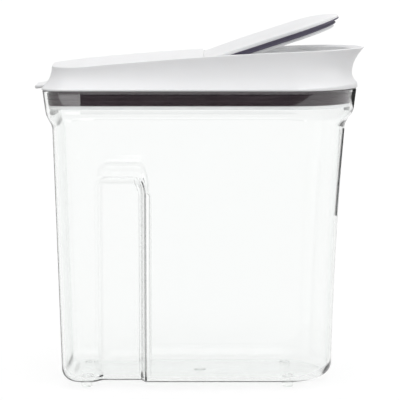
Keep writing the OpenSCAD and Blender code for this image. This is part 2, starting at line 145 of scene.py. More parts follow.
def makePiece(name, grids, material, body, nodes):
    # Join the grids, weld points that meet, drop cells with no area, and turn all faces outwards.
    points, faces, start = [], [], 0
    for grid, wrapRows, wrapCols in grids:
        rows, cols = grid.shape[:2]
        points.append(grid.reshape(-1, 3))
        faces.append(gridFaces(rows, cols, wrapRows, wrapCols) + start)
        start += rows * cols
    points, faces = np.concatenate(points), np.concatenate(faces)
    keys = np.round(points * 2000).astype(np.int64)
    cells, first, back = np.unique(keys, axis=0, return_index=True, return_inverse=True)
    points, faces = points[first] * millimetre, back.reshape(-1)[faces]
    same = faces == np.roll(faces, -1, axis=1)
    quads = faces[same.sum(1) == 0]
    quads = quads[(quads[:, 0] != quads[:, 2]) & (quads[:, 1] != quads[:, 3])]
    once = same.sum(1) == 1
    keep = ~same[once]
    triangles = faces[once][keep].reshape(-1, 3)
    mesh = bpy.data.meshes.new(name)
    mesh.from_pydata(points.tolist(), [], quads.tolist() + triangles.tolist())
    mesh.validate()
    shell = bmesh.new()
    shell.from_mesh(mesh)
    bmesh.ops.recalc_face_normals(shell, faces=shell.faces)
    shell.to_mesh(mesh)
    shell.free()
    mesh.polygons.foreach_set("use_smooth", np.ones(len(mesh.polygons), dtype=bool))
    mesh.materials.append(material)
    piece = bpy.data.objects.new(name, mesh)
    bpy.context.scene.collection.objects.link(piece)
    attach(piece, body)
    if nodes:
        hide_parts(*nodes)
    print(name, len(mesh.polygons), "faces")
    return piece


def newMaterial(name):
    # an empty node tree with a principled shader and object coordinates
    material = bpy.data.materials.new(name)
    material.use_nodes = True
    tree = material.node_tree
    tree.nodes.clear()
    out = tree.nodes.new("ShaderNodeOutputMaterial")
    shader = tree.nodes.new("ShaderNodeBsdfPrincipled")
    place = tree.nodes.new("ShaderNodeTexCoord")
    tree.links.new(shader.outputs["BSDF"], out.inputs["Surface"])
    return material, tree, shader, place, out


def addNoise(tree, place, scale, detail=3.0, rough=0.5):
    # fractal noise of the object's own coordinates
    noise = tree.nodes.new("ShaderNodeTexNoise")
    noise.inputs["Scale"].default_value = scale
    noise.inputs["Detail"].default_value = detail
    noise.inputs["Roughness"].default_value = rough
    tree.links.new(place.outputs["Object"], noise.inputs["Vector"])
    return noise


def addRange(tree, source, low, high):
    # noise from 0.3 to 0.7 stretched over low to high
    span = tree.nodes.new("ShaderNodeMapRange")
    span.inputs["From Min"].default_value = 0.3
    span.inputs["From Max"].default_value = 0.7
    span.inputs["To Min"].default_value = low
    span.inputs["To Max"].default_value = high
    tree.links.new(source, span.inputs["Value"])
    return span.outputs["Result"]


def addTint(tree, source, dark, light):
    # colour that drifts from dark to light with the noise
    ramp = tree.nodes.new("ShaderNodeValToRGB")
    ramp.color_ramp.elements[0].position = 0.35
    ramp.color_ramp.elements[1].position = 0.65
    ramp.color_ramp.elements[0].color = (*dark, 1)
    ramp.color_ramp.elements[1].color = (*light, 1)
    tree.links.new(source, ramp.inputs["Fac"])
    return ramp.outputs["Color"]


def addBump(tree, shader, source, depth):
    # fine relief of the given depth in metres
    bump = tree.nodes.new("ShaderNodeBump")
    bump.inputs["Strength"].default_value = 1.0
    bump.inputs["Distance"].default_value = depth
    tree.links.new(source, bump.inputs["Height"])
    tree.links.new(bump.outputs["Normal"], shader.inputs["Normal"])


finishes = {
    # the clear plastic's edge colour and its range are a painted edge shade, greying the base
    # colour at grazing angles
    "clear": {"ior": 1.5, "rough": (0.0, 0.02), "ripple": 0.00004, "absorb": (0.76, 0.79, 0.77),
              "density": 30.0, "face": (0.978, 0.983, 0.98), "edge": (0.82, 0.85, 0.84),
              "edgeShadeFrom": 0.55, "edgeShadeTo": 0.95},
    "lidWhite": {"dark": (0.86, 0.86, 0.87), "light": (0.89, 0.89, 0.90), "rough": (0.30, 0.42),
                 "grain": 0.00002, "milky": 0.3},
    "innerWhite": {"dark": (0.85, 0.85, 0.86), "light": (0.88, 0.88, 0.89), "rough": (0.38, 0.52),
                   "grain": 0.00003, "milky": 0.3},
    "lidSeal": {"dark": (0.026, 0.013, 0.019), "light": (0.036, 0.018, 0.027),
                "rough": (0.45, 0.62), "grain": 0.00004, "milky": 0.0},
    "flipSeal": {"dark": (0.068, 0.060, 0.095), "light": (0.090, 0.080, 0.125),
                 "rough": (0.45, 0.62), "grain": 0.00004, "milky": 0.0},
    "pin": {"dark": (0.66, 0.66, 0.68), "light": (0.70, 0.70, 0.72), "rough": (0.30, 0.40),
            "grain": 0.00002, "milky": 0.0},
}
# noise cells per metre: slow tint and flow, polish, and the tool's fine grain
texture = {"drift": 9, "flow": 14, "polish": 40, "gloss": 120, "grain": 1400}
opaque = {"ior": 1.48, "milkDepth": 0.004, "milkTint": (1.0, 0.95, 0.9)}


def clearPlastic(look):
    # clear moulded plastic: faint flow ripples, slightly uneven polish, grey-green depth, and
    # a painted edge shade: its base colour greys where it is seen edge-on, standing in for the dark
    # room seen through its edges
    material, tree, shader, place, out = newMaterial("clearPlastic")
    # painted edge shade: the facing weight blends the base colour from the face colour to the grey
    # edge colour
    facing = tree.nodes.new("ShaderNodeLayerWeight")
    facing.inputs["Blend"].default_value = 0.5
    rim = tree.nodes.new("ShaderNodeValToRGB")
    rim.color_ramp.elements[0].position = look["edgeShadeFrom"]
    rim.color_ramp.elements[1].position = look["edgeShadeTo"]
    rim.color_ramp.elements[0].color = (*look["face"], 1)
    rim.color_ramp.elements[1].color = (*look["edge"], 1)
    tree.links.new(facing.outputs["Facing"], rim.inputs["Fac"])
    tree.links.new(rim.outputs["Color"], shader.inputs["Base Color"])
    shader.inputs["Transmission Weight"].default_value = 1.0
    shader.inputs["IOR"].default_value = look["ior"]
    polish = addNoise(tree, place, texture["polish"])
    rough = addRange(tree, polish.outputs["Fac"], *look["rough"])
    tree.links.new(rough, shader.inputs["Roughness"])
    flow = addNoise(tree, place, texture["flow"], 1.0)
    addBump(tree, shader, flow.outputs["Fac"], look["ripple"])
    depth = tree.nodes.new("ShaderNodeVolumeAbsorption")
    depth.inputs["Color"].default_value = (*look["absorb"], 1)
    depth.inputs["Density"].default_value = look["density"]
    tree.links.new(depth.outputs["Volume"], out.inputs["Volume"])
    return material


def mouldedPlastic(name, look):
    # opaque moulded plastic: slow tint drift, uneven gloss and a fine spark-eroded grain
    material, tree, shader, place, out = newMaterial(name)
    drift = addNoise(tree, place, texture["drift"])
    tint = addTint(tree, drift.outputs["Fac"], look["dark"], look["light"])
    tree.links.new(tint, shader.inputs["Base Color"])
    gloss = addNoise(tree, place, texture["gloss"])
    rough = addRange(tree, gloss.outputs["Fac"], *look["rough"])
    tree.links.new(rough, shader.inputs["Roughness"])
    grain = addNoise(tree, place, texture["grain"], 2.0)
    addBump(tree, shader, grain.outputs["Fac"], look["grain"])
    shader.inputs["IOR"].default_value = opaque["ior"]
    shader.inputs["Subsurface Weight"].default_value = look["milky"]
    shader.inputs["Subsurface Scale"].default_value = opaque["milkDepth"]
    shader.inputs["Subsurface Radius"].default_value = opaque["milkTint"]
    return material


clear = clearPlastic(finishes["clear"])
lidWhite = mouldedPlastic("lidWhite", finishes["lidWhite"])
innerWhite = mouldedPlastic("innerWhite", finishes["innerWhite"])
lidSealRubber = mouldedPlastic("lidSealRubber", finishes["lidSeal"])
flipSealRubber = mouldedPlastic("flipSealRubber", finishes["flipSeal"])
pinPlastic = mouldedPlastic("pinPlastic", finishes["pin"])
print("materials made")

# Container: clear, tapered, with a finger recess in each side and a flared collar.
tub = {
    "length": 220.4, "width": 100, "shoulder": 191.5, "wall": 2.6, "floor": 2.8,
    "backDraft": 1.7, "frontDraft": 2.7, "frontBow": 1.4, "sideDraft": 1.3, "corner": 16,
    "nose": 45, "noseTaper": 0.045, "noseGrow": 5, "baseRadius": 9,
    "neckHeight": 14, "neckBack": 4.9, "neckFront": 6.8, "neckSide": 2.5,
    "collar": 16, "lean": 2, "rimRadius": 0.7,
    "gripDepth": 8, "gripBack": 28.4, "gripLength": 40.8, "gripSoft": 10, "gripSteep": 4,
    "gripTop": 159, "gripRoof": 8.5, "gripRound": 2,
    "footHeight": 4.6, "footWidth": 8, "footBack": 18.6, "footFront": 34.5, "footHalf": 31,
    "footRound": 1.2, "gateWidth": 9, "gateHeight": 1, "gateRound": 0.5, "floorSpine": (-70, 60),
}
baseZ = tub["footHeight"]
shoulderZ = baseZ + tub["shoulder"]
neckZ = shoulderZ + tub["neckHeight"]
rimZ = neckZ + tub["collar"]
gripStart = tub["gripBack"] - tub["length"] / 2
gripEnd = gripStart + tub["gripLength"]


def gripDip(x, z, grow):
    # Ramps over the rear slope a, the front slope b and the roof c, as the depth smooth(least of
    # k - hypot(k - b, k - c) and 1 - hypot(1 - a, 1 - c)), so they meet in rounded corners.
    # Inside the tub the front slope stands ahead by grow.
    rear = np.clip((x - gripStart) / tub["gripSoft"], 0, 1)
    steep = (gripEnd + grow - x) / tub["gripSteep"]
    roof = (baseZ + tub["gripTop"] - z) / tub["gripRoof"]
    k = tub["gripRound"]
    corner = k - np.hypot(np.maximum(0, k - steep), max(0, k - roof))
    fall = 1 - np.hypot(1 - rear, 1 - np.clip(roof, 0, 1))
    return tub["gripDepth"] * smooth(np.minimum(corner, fall))


binStations = np.concatenate([
    np.linspace(gripStart - 6, gripStart, 3)[:-1],
    np.linspace(gripStart, gripStart + tub["gripSoft"], 15),
    np.linspace(gripStart + tub["gripSoft"], gripEnd - tub["gripSteep"], 20)[1:-1],
    np.linspace(gripEnd - tub["gripSteep"], gripEnd + tub["wall"] / 2, 19),
    np.linspace(gripEnd + tub["wall"] / 2, tub["length"] / 2 - tub["nose"], 24)[1:-1],
])


def binRing(z, inset, grow=0):
    # The loop of the wall at height z: every reach shrinks with its draft below the shoulder and
    # grows over the neck and the leaning collar, the front also bows in by 4 bow u (1 - u), and
    # the sides dip in at the grip.
    drop = max(0.0, shoulderZ - z)
    step = float(smooth((z - shoulderZ) / tub["neckHeight"]))
    lean = tub["lean"] * max(0.0, z - neckZ) / tub["collar"] - inset
    reach = tub["length"] / 2
    back = reach - drop * math.tan(math.radians(tub["backDraft"])) + step * tub["neckBack"] + lean
    bow = 4 * tub["frontBow"] * drop / tub["shoulder"] * (1 - drop / tub["shoulder"])
    front = reach - drop * math.tan(math.radians(tub["frontDraft"])) - bow
    front += step * tub["neckFront"] + lean
    half = tub["width"] / 2 - drop * math.tan(math.radians(tub["sideDraft"]))
    half += step * tub["neckSide"] + lean
    nose = tub["nose"] - drop * tub["noseTaper"] + step * tub["noseGrow"] - inset
    flat = halfOutline(back, front, half, max(3.0, tub["corner"] - inset), nose, binStations)
    flat[:, 1] += gripDip(flat[:, 0], z, grow) * (flat[:, 1] < -half * 0.9)
    return raised(wholeLoop(flat), z)


def filletRings(z0, radius, inset, grow=0):
    # quarter circle from the underside up into the wall
    return [binRing(z0 + radius * (1 - math.cos(a)), inset + radius * (1 - math.sin(a)), grow)
            for a in np.linspace(0, math.pi / 2, 11)]


def wallHeights(low):
    # heights of the wall's rings, closest where the wall bends
    roof = baseZ + tub["gripTop"]
    bend = roof - tub["gripRoof"] * tub["gripRound"]
    return np.concatenate([
        [low + 1.5], np.linspace(low + 14, bend, 9), np.linspace(bend, roof, 26)[1:],
        [roof + 3, shoulderZ - 5], np.linspace(shoulderZ, neckZ, 15),
        np.linspace(neckZ, rimZ, 6)[1:-1]])


def makeContainer():
    # outside fillet and wall, rounded rim, inside wall and fillet, closed by two flat floors
    outer = filletRings(baseZ, tub["baseRadius"], 0)
    outer += [binRing(z, 0) for z in wallHeights(baseZ + tub["baseRadius"])]
    innerRadius = tub["baseRadius"] - tub["wall"] / 2
    innerZ = baseZ + tub["floor"]
    grow = tub["wall"] / 2
    inner = filletRings(innerZ, innerRadius, tub["wall"], grow)
    inner += [binRing(z, tub["wall"], grow) for z in wallHeights(innerZ + innerRadius)]
    rim = []
    r = tub["rimRadius"]
    for a in np.linspace(0, math.pi / 2, 5):
        rim.append(binRing(rimZ - r + r * math.sin(a), r * (1 - math.cos(a))))
    for a in np.linspace(math.pi / 2, math.pi, 5):
        rim.append(binRing(rimZ - r + r * math.sin(a), tub["wall"] - r * (1 + math.cos(a))))
    spine = tub["floorSpine"]
    flat = lambda x, y: np.full_like(x, baseZ)
    floor = lambda x, y: np.full_like(x, innerZ)
    under = crownRings(outer[0], spine, flat, [0, 0.5, 0.97])
    inside = crownRings(inner[0], spine, floor, [0.97, 0.5, 0])
    grids = [sleeve(under + outer + rim + inner[::-1] + inside)]
    return grids + footGrids()


def footGrids():
    # Lathed feet and gate mark: short round stubs with a rounded lower edge, tops inside the floor.
    reachBack = tub["length"] / 2 - tub["shoulder"] * math.tan(math.radians(tub["backDraft"]))
    reachFront = tub["length"] / 2 - tub["shoulder"] * math.tan(math.radians(tub["frontDraft"]))
    top = baseZ + tub["floor"] / 2
    turn = np.linspace(0, 2 * math.pi, 40, endpoint=False)

    def stub(x, y, low, r, edge):
        # a lathed stub of radius r from the height low up, its lower edge rounded by edge
        profile = [(0, low), (r - edge, low), (r - edge * 0.4, low + edge * 0.12),
                   (r - edge * 0.12, low + edge * 0.4), (r, low + edge), (r, top), (0, top)]
        return sleeve([np.column_stack([x + q * np.cos(turn), y + q * np.sin(turn),
                                        np.full(40, z)]) for q, z in profile])

    grids = [stub(0, 0, baseZ - tub["gateHeight"], tub["gateWidth"] / 2, tub["gateRound"])]
    for x in (tub["footBack"] - reachBack, reachFront - tub["footFront"]):
        grids += [stub(x, y, 0, tub["footWidth"] / 2, tub["footRound"])
                  for y in (-tub["footHalf"], tub["footHalf"])]
    return grids


tubPiece = makePiece("clearContainer", makeContainer(), clear, "container", ["container"])
tubPiece.visible_shadow = False  # light goes through it to the floor and the lid's inside

# Lid shell: a skirt, a concave cove up to the ridge, a crowned deck, the lip and the lift tab.
lid = {
    "proud": 0.6, "ridgeBack": 14.3, "ridgeFront": 29.9, "sag": 2.5, "crown": 3.8,
    "rearFlat": 30, "rearDrop": 0.3, "coveIn": 8.4, "coveRear": 6.7, "lipOut": 5.05,
    "lipReach": 5.1, "wall": 2.2, "ridgeCorner": 26, "skirtCorner": 17, "skirtEdge": 1.2,
    "skirtRound": 1.2, "rimRound": 0.25, "mouthRound": 0.35, "hollowStop": 2.4, "fitGap": 0.2,
    "covePower": 2.3, "waistLow": -7.5, "waistHigh": -4, "riseLow": 0.17, "riseHigh": 0.62,
    "tabWidth": 44, "tabThick": 2.6, "tabDrop": 0.8, "noseEdge": 2.4, "edge": 0.5,
    "lipGap": 14.2, "hingeIn": 113.7, "wellGap": 8.4, "cheekLength": 58, "cheekThick": 2.3,
    "throatAhead": 0.5, "throatIn": 0.3, "throatRound": 10,
}
rimBack = tub["length"] / 2 + tub["neckBack"] + tub["lean"]
rimFront = tub["length"] / 2 + tub["neckFront"] + tub["lean"]
rimHalf = tub["width"] / 2 + tub["neckSide"] + tub["lean"]
rimNose = tub["nose"] + tub["noseGrow"]
skirtBack, skirtFront, skirtHalf = (v + lid["proud"] for v in (rimBack, rimFront, rimHalf))
lipX = skirtFront + lid["lipReach"]
ridgeHalf = skirtHalf - lid["coveIn"]
skirtZ = rimZ + lid["skirtEdge"]
hingeX = lipX - lid["hingeIn"]
wellX = hingeX - lid["wellGap"]
cheekX = hingeX + lid["cheekLength"]
throatX = lipX - lid["lipGap"] + lid["throatAhead"]
throatHalf = ridgeHalf - lid["wall"] - lid["throatIn"]
throatNose = rimNose - lid["throatRound"]
rampX = lipX - lid["wall"]


def ridge(x):
    # height of the ridge: a straight climb plus a shallow arc 4 sag u (1 - u)
    u = (x + skirtBack) / (lipX + skirtBack)
    return rimZ + mix(lid["ridgeBack"], lid["ridgeFront"], u) + 4 * lid["sag"] * u * (1 - u)


def deck(x, y):
    # the ridge plus crown (1 - (y / half)^2 - nose^2), a little flatter at the rear
    nose = np.maximum(0, (x - lipX + rimNose) / rimNose)
    rear = np.clip(1 - (x + skirtBack - lid["coveRear"]) / lid["rearFlat"], 0, 1)
    crown = lid["crown"] * (1 - lid["rearDrop"] * rear * rear)
    return ridge(x) + crown * np.maximum(0, 1 - (y / ridgeHalf) ** 2 - nose * nose)


def coveLoop(s, inset, noseStop=1000.0):
    # The cove at step s from skirt (0) to ridge (1), stood in by inset: the sides draw in by
    # coveIn (1 - (1 - t)^power), the rear by coveRear times the same, and the front follows a
    # Bezier curve out to the lip.
    t = float(bezier(0, lid["riseLow"], lid["riseHigh"], 1, s))
    reach = 1 - (1 - t) ** lid["covePower"]
    side = lid["coveIn"] * reach + inset
    swing = float(bezier(0, lid["waistLow"], lid["waistHigh"], lid["lipOut"], s))
    front = skirtFront + swing - inset
    corner = mix(lid["skirtCorner"], lid["ridgeCorner"], t) - inset
    flat = wholeLoop(lidHalf(skirtBack - lid["coveRear"] * reach - inset, min(front, noseStop),
                             skirtHalf - side, corner, rimNose - inset / 2))
    edgeZ = skirtZ + lid["noseEdge"] * smooth((flat[:, 0] - skirtFront + rimNose) / rimNose)
    return raised(flat, mix(edgeZ, deck(flat[:, 0], flat[:, 1]), t))


lidSplit = {"rearSide": 30, "frontSide": 44}


def lidHalf(back, front, half, corner, nose):
    # a half outline whose side has one station at the opening's rear edge
    behind = np.linspace(corner - back, wellX, lidSplit["rearSide"])[1:]
    ahead = np.linspace(wellX, front - nose, lidSplit["frontSide"])[1:-1]
    return halfOutline(back, front, half, corner, nose, np.concatenate([behind, ahead]))


def openingLoop(front, nose, inset=0.0):
    # The opening's edge with as many points as the lid's loops: everything behind the
    # opening's rear edge lands on that edge, spaced out to its corner.
    behindCount = outline["rear"] - 1 + outline["corner"] + lidSplit["rearSide"] - 1
    half = throatHalf + inset
    y = -half * np.sin(np.linspace(0, math.pi / 2, behindCount))
    rear = np.column_stack([np.full_like(y, wellX - inset), y])
    ahead = np.linspace(wellX, front - nose, lidSplit["frontSide"])[1:-1]
    side = np.column_stack([ahead, np.full_like(ahead, -half)])
    b = np.linspace(0, math.pi / 2, outline["nose"])
    tip = np.column_stack([front - nose + nose * np.sin(b), -half * np.cos(b)])
    return wholeLoop(np.concatenate([rear, side, tip]))


def makeLid():
    # One closed skin: top from the opening out to the ridge, down the cove, under the skirt,
    # up the hollow, in under the top, and up the opening's wall to the start.
    ridgeLoop = coveLoop(1, 0)
    mouthTop = openingLoop(rampX, rimNose)
    mouthTop = raised(mouthTop, deck(mouthTop[:, 0], mouthTop[:, 1]))
    rings, radii = [], []

    def add(ring, radius=0.0):
        rings.append(ring)
        radii.append(radius)

    add(mouthTop, lid["mouthRound"])
    for s in (0.06, 0.2, 0.35, 0.5, 0.65, 0.8, 0.92, 0.975):
        flat = mix(mouthTop[:, :2], ridgeLoop[:, :2], s)
        add(raised(flat, deck(flat[:, 0], flat[:, 1])))
    add(ridgeLoop, lid["edge"])
    for s in np.linspace(1, 0, 26)[1:-1]:
        add(coveLoop(s, 0))
    add(coveLoop(0, 0), lid["skirtRound"])
    skirt = coveLoop(0, 0)
    skirt[:, 2] = rimZ
    add(skirt, lid["rimRound"])
    inner = coveLoop(0, lid["wall"])
    inner[:, 2] = rimZ
    add(inner, lid["rimRound"])
    stop = throatX + lid["hollowStop"]
    for s in np.linspace(0, 0.62, 8):
        add(coveLoop(s, lid["wall"], 1000 if s < 0.5 else mix(stop + 3, stop, (s - 0.5) / 0.12)))
    for s in np.linspace(0.7, 1, 5):
        ring = coveLoop(s, lid["wall"], stop)
        ring[:, 2] = np.where(ring[:, 0] > throatX - throatNose,
                              np.minimum(ring[:, 2], deck(ring[:, 0], ring[:, 1]) - lid["wall"]),
                              ring[:, 2] - lid["wall"] * (s - 0.7) / 0.3)
        add(ring)
    hollowTop = rings[-1]
    low = ledgeZ(throatX) + 0.3
    mouthLow = openingLoop(throatX, throatNose)
    lowZ = deck(mouthLow[:, 0], mouthLow[:, 1]) - lid["wall"]
    for s in (0.1, 0.4, 0.7):
        flat = mix(hollowTop[:, :2], mouthLow[:, :2], s)
        z = deck(flat[:, 0], flat[:, 1]) - lid["wall"]
        nose = smooth((flat[:, 0] - 70) / 30)
        add(raised(flat, mix(z, np.minimum(z, low - 3), nose)))
    nose = smooth((mouthLow[:, 0] - 70) / 30)
    add(raised(mouthLow, mix(lowZ, low - 4, nose)), 0.2)
    add(raised(mouthLow, mix(lowZ + lid["wall"] * 0.3, low, nose)), 0.3)
    grids = [tube(roundCorners(rings, radii))]
    return grids + tabGrids()


def tabGrids():
    # The lift tab: a flat tongue with a rounded end, thick at the foot of the cove and thin at
    # its tip. Its top and underside follow heights along x.
    root = lid["coveRear"] - skirtBack
    tip = -lipX
    topX = np.array([tip, tip + 0.8, root - 9, root - 5, root - 2.5, root])
    tipZ = lid["tabThick"] - lid["tabDrop"]
    topZ = np.array([tipZ - 0.5, tipZ, 2.1, 3, 4.2, 5.6])
    lowX = np.array([tip, tip + 0.8, -skirtBack + 1, root])
    lowZ = np.array([0.5 - lid["tabDrop"], 0.02 - lid["tabDrop"], 0.6, 1.5])
    edge = 0.45
    count = 12
    a = np.linspace(0, math.pi / 2, count)

    def plan(inset):
        # tongue outline: straight sides, quarter circles of radius 9 at the tip
        half, end, r = lid["tabWidth"] / 2 - inset, tip + inset, 9 - inset
        across = -np.linspace(0, 1, 8)[:-1] * (half - r)
        rear = np.column_stack([np.full_like(across, end), across])
        arc = np.column_stack([end + r - r * np.cos(a), r - half - r * np.sin(a)])
        side = np.column_stack([np.linspace(end + r, root, 8)[1:], np.full(7, -half)])
        close = np.column_stack([np.full(7, root), -half * np.linspace(1, 0, 8)[1:]])
        return wholeLoop(np.concatenate([rear, arc, side, close]))

    top = lambda x, y: rimZ + np.interp(x, topX, topZ)
    low = lambda x, y: rimZ + np.interp(x, lowX, lowZ)
    spine = (tip + 7, root - 3)
    rings = crownRings(plan(edge), spine, top, [0, 0.3, 0.6, 0.85, 1])
    for b in np.linspace(0, math.pi, 7)[1:-1]:
        flat = plan(edge * (1 - math.sin(b)))
        upper, lower = top(flat[:, 0], 0), low(flat[:, 0], 0)
        rings.append(raised(flat, mix((upper + lower) / 2, upper if b < 1.57 else lower,
                                      abs(math.cos(b)))))
    rings += crownRings(plan(edge), spine, low, [1, 0.85, 0.6, 0.3, 0])
    return [sleeve(rings)]


# Flip: sizes shared by the lid around it and by its own pieces, measured from the hinge axis.
flip = {
    "openAngle": 15.3, "closedSlope": 2.8, "crown": 4.6, "edge": 2.7, "wall": 2, "gap": 0.5,
    "sealThick": 3.7, "plateThick": 2.3, "pin": 3, "sealRise": 2.45, "back": 6.5, "corner": 3,
    "mouthBack": 7.8, "mouthCorner": 6, "rim": 3.2, "seatGap": 0.3, "round": 0.7,
    "tipEdge": 1.3, "tipBack": 3, "earThick": 5, "earRadius": 2.5, "sealFin": 0.2, "lowFin": 0.5,
    "sealIn": 1.2, "sealBore": 4, "finThick": 1.1, "plateIn": 2.6, "plateRound": 0.5,
    "post": 5, "postAlong": (0.28, 0.52, 0.76), "postAcross": (-0.45, 0.45), "sink": 0.1,
    "crownRise": 30, "crownShare": 0.985, "spineBack": 10, "plateSpine": 20, "spineNose": 30,
}
hingeZ = float(ridge(hingeX)) - flip["sink"] - flip["edge"] - flip["sealRise"]
slope = math.radians(flip["closedSlope"])
flipHalf = throatHalf - lid["fitGap"] - lid["cheekThick"] - flip["gap"]
flipTip = (lipX - lid["lipGap"] - hingeX) / math.cos(slope)
flipNose = throatNose - 2
ledgeRise = flip["sealRise"] - flip["sealThick"] - flip["seatGap"]


def ledgeZ(x):
    # height of the sloped ledge that the closed seal rests on
    return hingeZ + (x - hingeX) * math.tan(slope) + ledgeRise / math.cos(slope)


def tilted(ring, angle):
    # turn a ring measured from the hinge axis up by angle and carry it to the hinge
    x, z = ring[:, 0], ring[:, 2]
    c, s = math.cos(angle), math.sin(angle)
    return np.column_stack([hingeX + x * c - z * s, ring[:, 1], hingeZ + x * s + z * c])


def openRing(ring):
    # the flip's place in the photograph
    return tilted(ring, slope + math.radians(flip["openAngle"]))


def mouthLoop(inset, tip=None):
    # outline of the sealed mouth, measured from the hinge axis, standing back by tip at its tip
    tip = flip["tipBack"] if tip is None else tip
    return wholeLoop(halfOutline(-flip["mouthBack"] - inset, flipTip - inset - tip,
                                 flipHalf - inset, flip["mouthCorner"] - inset / 2,
                                 flipNose - inset - tip))


makePiece("lidShell", makeLid(), lidWhite, "lid", ["lid_shell"])

# Lid frame: the white inner moulding that carries the lid seal and closes under the flip.
inner = {
    "plugOut": 4.3, "wall": 2, "sealHeight": 11, "sealLip": 2.6, "sealThick": 1.6, "ribs": 4,
    "gap": 0.35, "flange": 2, "wellDepth": 13, "wellBack": 14, "wellFront": 5.6, "drop": 0.4,
    "mouthIn": 1.9, "flangeIn": 0.7, "seat": 0.2, "wellRound": 3.0, "spoutCorner": 3,
}
sealLow = rimZ - inner["sealHeight"] - inner["seat"]
plugLow = sealLow - inner["sealLip"]
webZ = rimZ - inner["seat"] + inner["flange"]
wellZ = hingeZ - inner["wellDepth"]
frameHalf = throatHalf - lid["fitGap"]


def plugLoop(inset):
    # Outline inside the collar, whose corners keep the collar's own radius down to the plug
    i = tub["wall"] + inset
    r = tub["wall"] + max(0.0, inset - inner["plugOut"])
    return wholeLoop(halfOutline(rimBack - i, rimFront - i, rimHalf - i, tub["corner"] - r,
                                 rimNose - r))


def spoutLoop(inset):
    # outline of the spout's upright walls
    gap = lid["fitGap"] + inset
    return wholeLoop(halfOutline(inner["wellBack"] - hingeX - inset, throatX - gap,
                                 frameHalf - inset, inner["spoutCorner"] - inset * 0.9,
                                 throatNose - gap))


def band(corners, loop, radius=0.3, place=None):
    # A closed band: section corners (inset, height) swept round a loop, its edges rounded.
    rings = []
    for inset, z in corners:
        flat = loop(inset)
        rings.append(raised(flat, z(flat[:, 0]) if callable(z) else z))
    rings = roundCorners(rings, [radius] * len(rings), 3)
    if place:
        rings = [place(r) for r in rings]
    return tube(rings)


def cheekGrid(side):
    # A cheek plate with its bore: each point of its outline is joined to the point of the bore
    # at the same angle from the hinge axis.
    back = wellX + 2.2
    xs = np.linspace(back, cheekX, 40)
    upper = np.column_stack([xs, ridge(xs) - inner["drop"]])
    down = np.column_stack([np.full(10, cheekX), np.linspace(upper[-1, 1], webZ - 0.5, 11)[1:]])
    lower = np.column_stack([np.linspace(cheekX, back, 41)[1:], np.full(40, webZ - 0.5)])
    up = np.column_stack([np.full(9, back), np.linspace(webZ - 0.5, upper[0, 1], 11)[1:-1]])
    edge = np.concatenate([upper, down, lower, up])
    away = edge - [hingeX, hingeZ]
    bore = away / np.linalg.norm(away, axis=1, keepdims=True) * (flip["pin"] / 2 + 0.05)
    bore = bore + [hingeX, hingeZ]
    rings = []
    for y, loops in ((frameHalf, (bore, edge)), (frameHalf - lid["cheekThick"], (edge, bore))):
        for loop in loops:
            rings.append(np.column_stack([loop[:, 0], np.full(len(loop), side * y), loop[:, 1]]))
    return tube(roundCorners(rings, [0, 0.25, 0.25, 0], 3))


def channelGrids():
    # The well under the hinge: a U profile of one thickness carried across the lid.
    x0, x1, w = hingeX - inner["wellBack"], hingeX + inner["wellFront"], inner["wall"]
    top0 = float(ridge(x0)) - lid["wall"] - 1
    top1 = ledgeZ(x1) - 0.5
    low = wellZ - w
    a = np.linspace(0, math.pi / 2, 6)
    r = inner["wellRound"]
    outer = [[x0, top0]] + [[x0 + r - r * math.cos(t), low + r - r * math.sin(t)] for t in a]
    outer += [[x1 + w - r + r * math.sin(t), low + r - r * math.cos(t)] for t in a]
    outer += [[x1 + w, top1]]
    q = r - w
    inside = [[x0 + w, top0]]
    inside += [[x0 + w + q - q * math.cos(t), wellZ + q - q * math.sin(t)] for t in a]
    inside += [[x1 - q + q * math.sin(t), wellZ + q - q * math.cos(t)] for t in a]
    inside += [[x1, top1]]
    outer, inside = np.array(outer), np.array(inside)
    half = frameHalf
    rows = []
    for path, y in ((outer, -half), (inside, -half), (inside, half), (outer, half)):
        rows.append(np.column_stack([path[:, 0], np.full(len(path), y), path[:, 1]]))
    grid = np.stack(rows)
    caps = [(grid[:, end][[0, 1, 3, 2]].reshape(2, 2, 3), False, False) for end in (0, -1)]
    return [(grid, True, False)] + caps


def makeFrame():
    # plug wall, lip under the seal, flange, web, spout wall, ledge, cheeks and well
    o, w = inner["plugOut"], inner["wall"]
    collarIn = tub["lean"] * (rimZ - plugLow) / tub["collar"]
    lipIn, flangeIn, seatZ = collarIn + inner["gap"], inner["flangeIn"], rimZ - inner["seat"]
    grids = [
        band([(lipIn, plugLow), (lipIn, sealLow), (o, sealLow), (o, seatZ), (flangeIn, seatZ),
              (flangeIn, webZ), (o + w, webZ), (o + w, plugLow)], plugLoop),
    ]
    plugIn, spoutIn = plugLoop(o + w - 0.4), spoutLoop(w)
    web = [raised(plugIn, webZ), raised(spoutIn, webZ), raised(spoutIn, webZ - inner["flange"]),
           raised(plugIn, webZ - inner["flange"])]
    grids.append(tube(roundCorners(web, [0, 0.2, 0.2, 0], 2)))
    top = lambda x: np.minimum(ledgeZ(x), rimZ + 40)
    grids.append(band([(0, webZ - 1), (0, top), (w, top), (w, webZ - 1)], spoutLoop, 0.15))

    def ledge(step):
        # the ledge's outside at step 0, the sealed mouth at step 1
        if step:
            return mouthLoop(inner["mouthIn"])
        tip = (throatX - lid["fitGap"] - hingeX) / math.cos(slope)
        return wholeLoop(halfOutline(-inner["wellFront"], tip, frameHalf, inner["spoutCorner"],
                                     throatNose - lid["fitGap"]))

    grids.append(band([(0, ledgeRise), (1, ledgeRise), (1, ledgeRise - 2), (0, ledgeRise - 2)],
                      ledge, 0.3, lambda r: tilted(r, slope)))
    grids += [cheekGrid(-1), cheekGrid(1)]
    return grids + channelGrids()


makePiece("lidFrame", makeFrame(), innerWhite, "lid", ["lid_frame"])


